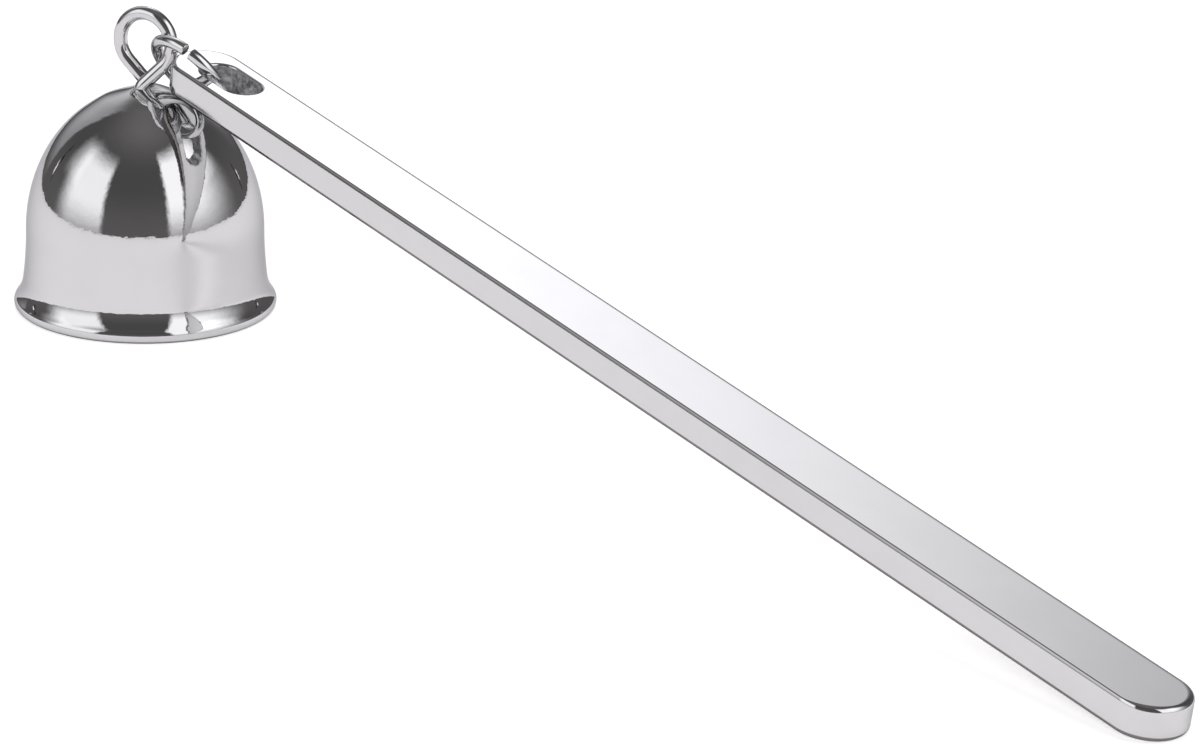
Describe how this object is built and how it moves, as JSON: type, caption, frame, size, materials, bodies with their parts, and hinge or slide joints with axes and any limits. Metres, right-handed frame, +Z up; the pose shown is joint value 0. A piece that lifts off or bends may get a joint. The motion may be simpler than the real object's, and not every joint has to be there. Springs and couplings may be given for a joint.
{
  "type": "candle snuffer",
  "caption": "Candle snuffer: a domed metal bell whose wire eye is linked by an open ring to the slotted end of a long flat handle with round ends.",
  "frame": {"origin": "middle of the bounding box on the table the snuffer lies on, under the handle", "axes": "+X runs along the handle from the bell towards the far end, +Z is up along the bell's axis, +Y is the side of the bell that the handle lies to"},
  "size_m": [0.1952, 0.032, 0.0375],
  "materials": {
    "bell_polish": "mirror polished",
    "wire_polish": "mirror polished",
    "handle_polish": "polished, lightly brushed edges"
  },
  "bodies": {
    "bell": {"bell_cup": "bell_polish", "eye_loop": "wire_polish"},
    "link_ring": {"link_ring": "wire_polish"},
    "handle": {"handle_bar": "handle_polish"}
  },
  "joints": [
    {"name": "ring_on_eye", "type": "hinge", "parent": "bell", "child": "link_ring", "pos_m": [-0.07906, 0.00181, 0.03151], "axis": [-0.2747, -0.3348, -0.9013], "range_deg": [0, 24]},
    {"name": "handle_on_ring", "type": "hinge", "parent": "link_ring", "child": "handle", "pos_m": [-0.07592, 0.00277, 0.03045], "axis": [0.0526, -0.8135, -0.5792], "range_deg": [0, 90]}
  ]
}
